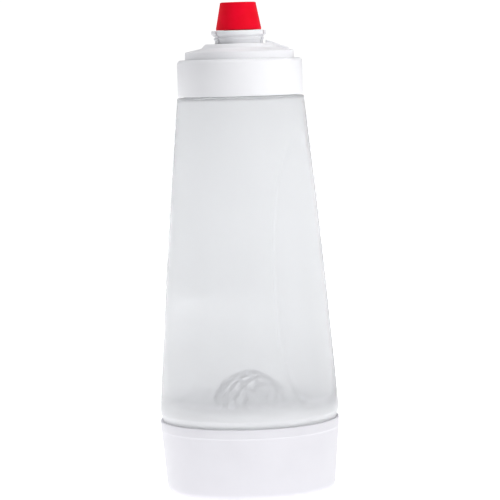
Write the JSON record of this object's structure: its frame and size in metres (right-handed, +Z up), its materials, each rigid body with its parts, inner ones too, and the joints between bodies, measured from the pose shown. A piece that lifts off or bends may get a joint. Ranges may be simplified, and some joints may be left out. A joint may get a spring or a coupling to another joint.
{
  "type": "squeeze bottle",
  "caption": "Translucent squeeze bottle with finger grips, a white screw lid with a screw-down red dispensing tip, a white screw-on base cup and a loose wire whisk ball inside.",
  "frame": {"origin": "on the surface that the bottle stands on, on the bottle's axis", "axes": "+Z up along the bottle's axis from the base to the tip, +X and -X through the two finger grips"},
  "size_m": [0.1078, 0.1078, 0.294],
  "materials": {
    "translucent_plastic": "frosted, see-through enough to show the whisk ball as a blurred shape",
    "white_lid_plastic": "smooth moulded white",
    "white_base_plastic": "smooth moulded white with a cool cast",
    "red_silicone": "satin silicone, bright red",
    "seal_silicone": "matte silicone",
    "steel_wire": "bright drawn wire"
  },
  "bodies": {
    "bottle": {"bottle_shell": "translucent_plastic"},
    "top_seal": {"lid_seal": "seal_silicone"},
    "lid": {"lid_cap": "white_lid_plastic", "flow_plug": "white_lid_plastic"},
    "tip": {"silicone_tip": "red_silicone"},
    "collar": {"tip_collar": "white_lid_plastic"},
    "bottom_seal": {"base_seal": "seal_silicone"},
    "base": {"base_shell": "white_base_plastic", "base_liner": "white_base_plastic"},
    "ball": {"whisk_ball": "steel_wire"}
  },
  "joints": [
    {"name": "lid_rise", "type": "slide", "parent": "bottle", "child": "top_seal", "axis": [0, 0, 1], "range_m": [0, 0.005]},
    {"name": "lid_turn", "type": "hinge", "parent": "top_seal", "child": "lid", "pos_m": [0, 0, 0.252], "axis": [0, 0, 1], "range_deg": [0, 360]},
    {"name": "tip_rise", "type": "slide", "parent": "lid", "child": "tip", "axis": [0, 0, 1], "range_m": [0, 0.003]},
    {"name": "collar_turn", "type": "hinge", "parent": "tip", "child": "collar", "pos_m": [0, 0, 0.272], "axis": [0, 0, 1], "range_deg": [0, 270]},
    {"name": "base_drop", "type": "slide", "parent": "bottle", "child": "bottom_seal", "axis": [0, 0, -1], "range_m": [0, 0.005]},
    {"name": "base_turn", "type": "hinge", "parent": "bottom_seal", "child": "base", "pos_m": [0, 0, 0.037], "axis": [0, 0, -1], "range_deg": [0, 360]},
    {"name": "ball_lift", "type": "slide", "parent": "base", "child": "ball", "axis": [0, 0, 1], "range_m": [0, 0.18]}
  ],
  "couplings": [
    {"joint": "lid_rise", "follows": "lid_turn", "m_per_rad": 0.0007957},
    {"joint": "tip_rise", "follows": "collar_turn", "m_per_rad": 0.0006366},
    {"joint": "base_drop", "follows": "base_turn", "m_per_rad": 0.0007957}
  ]
}
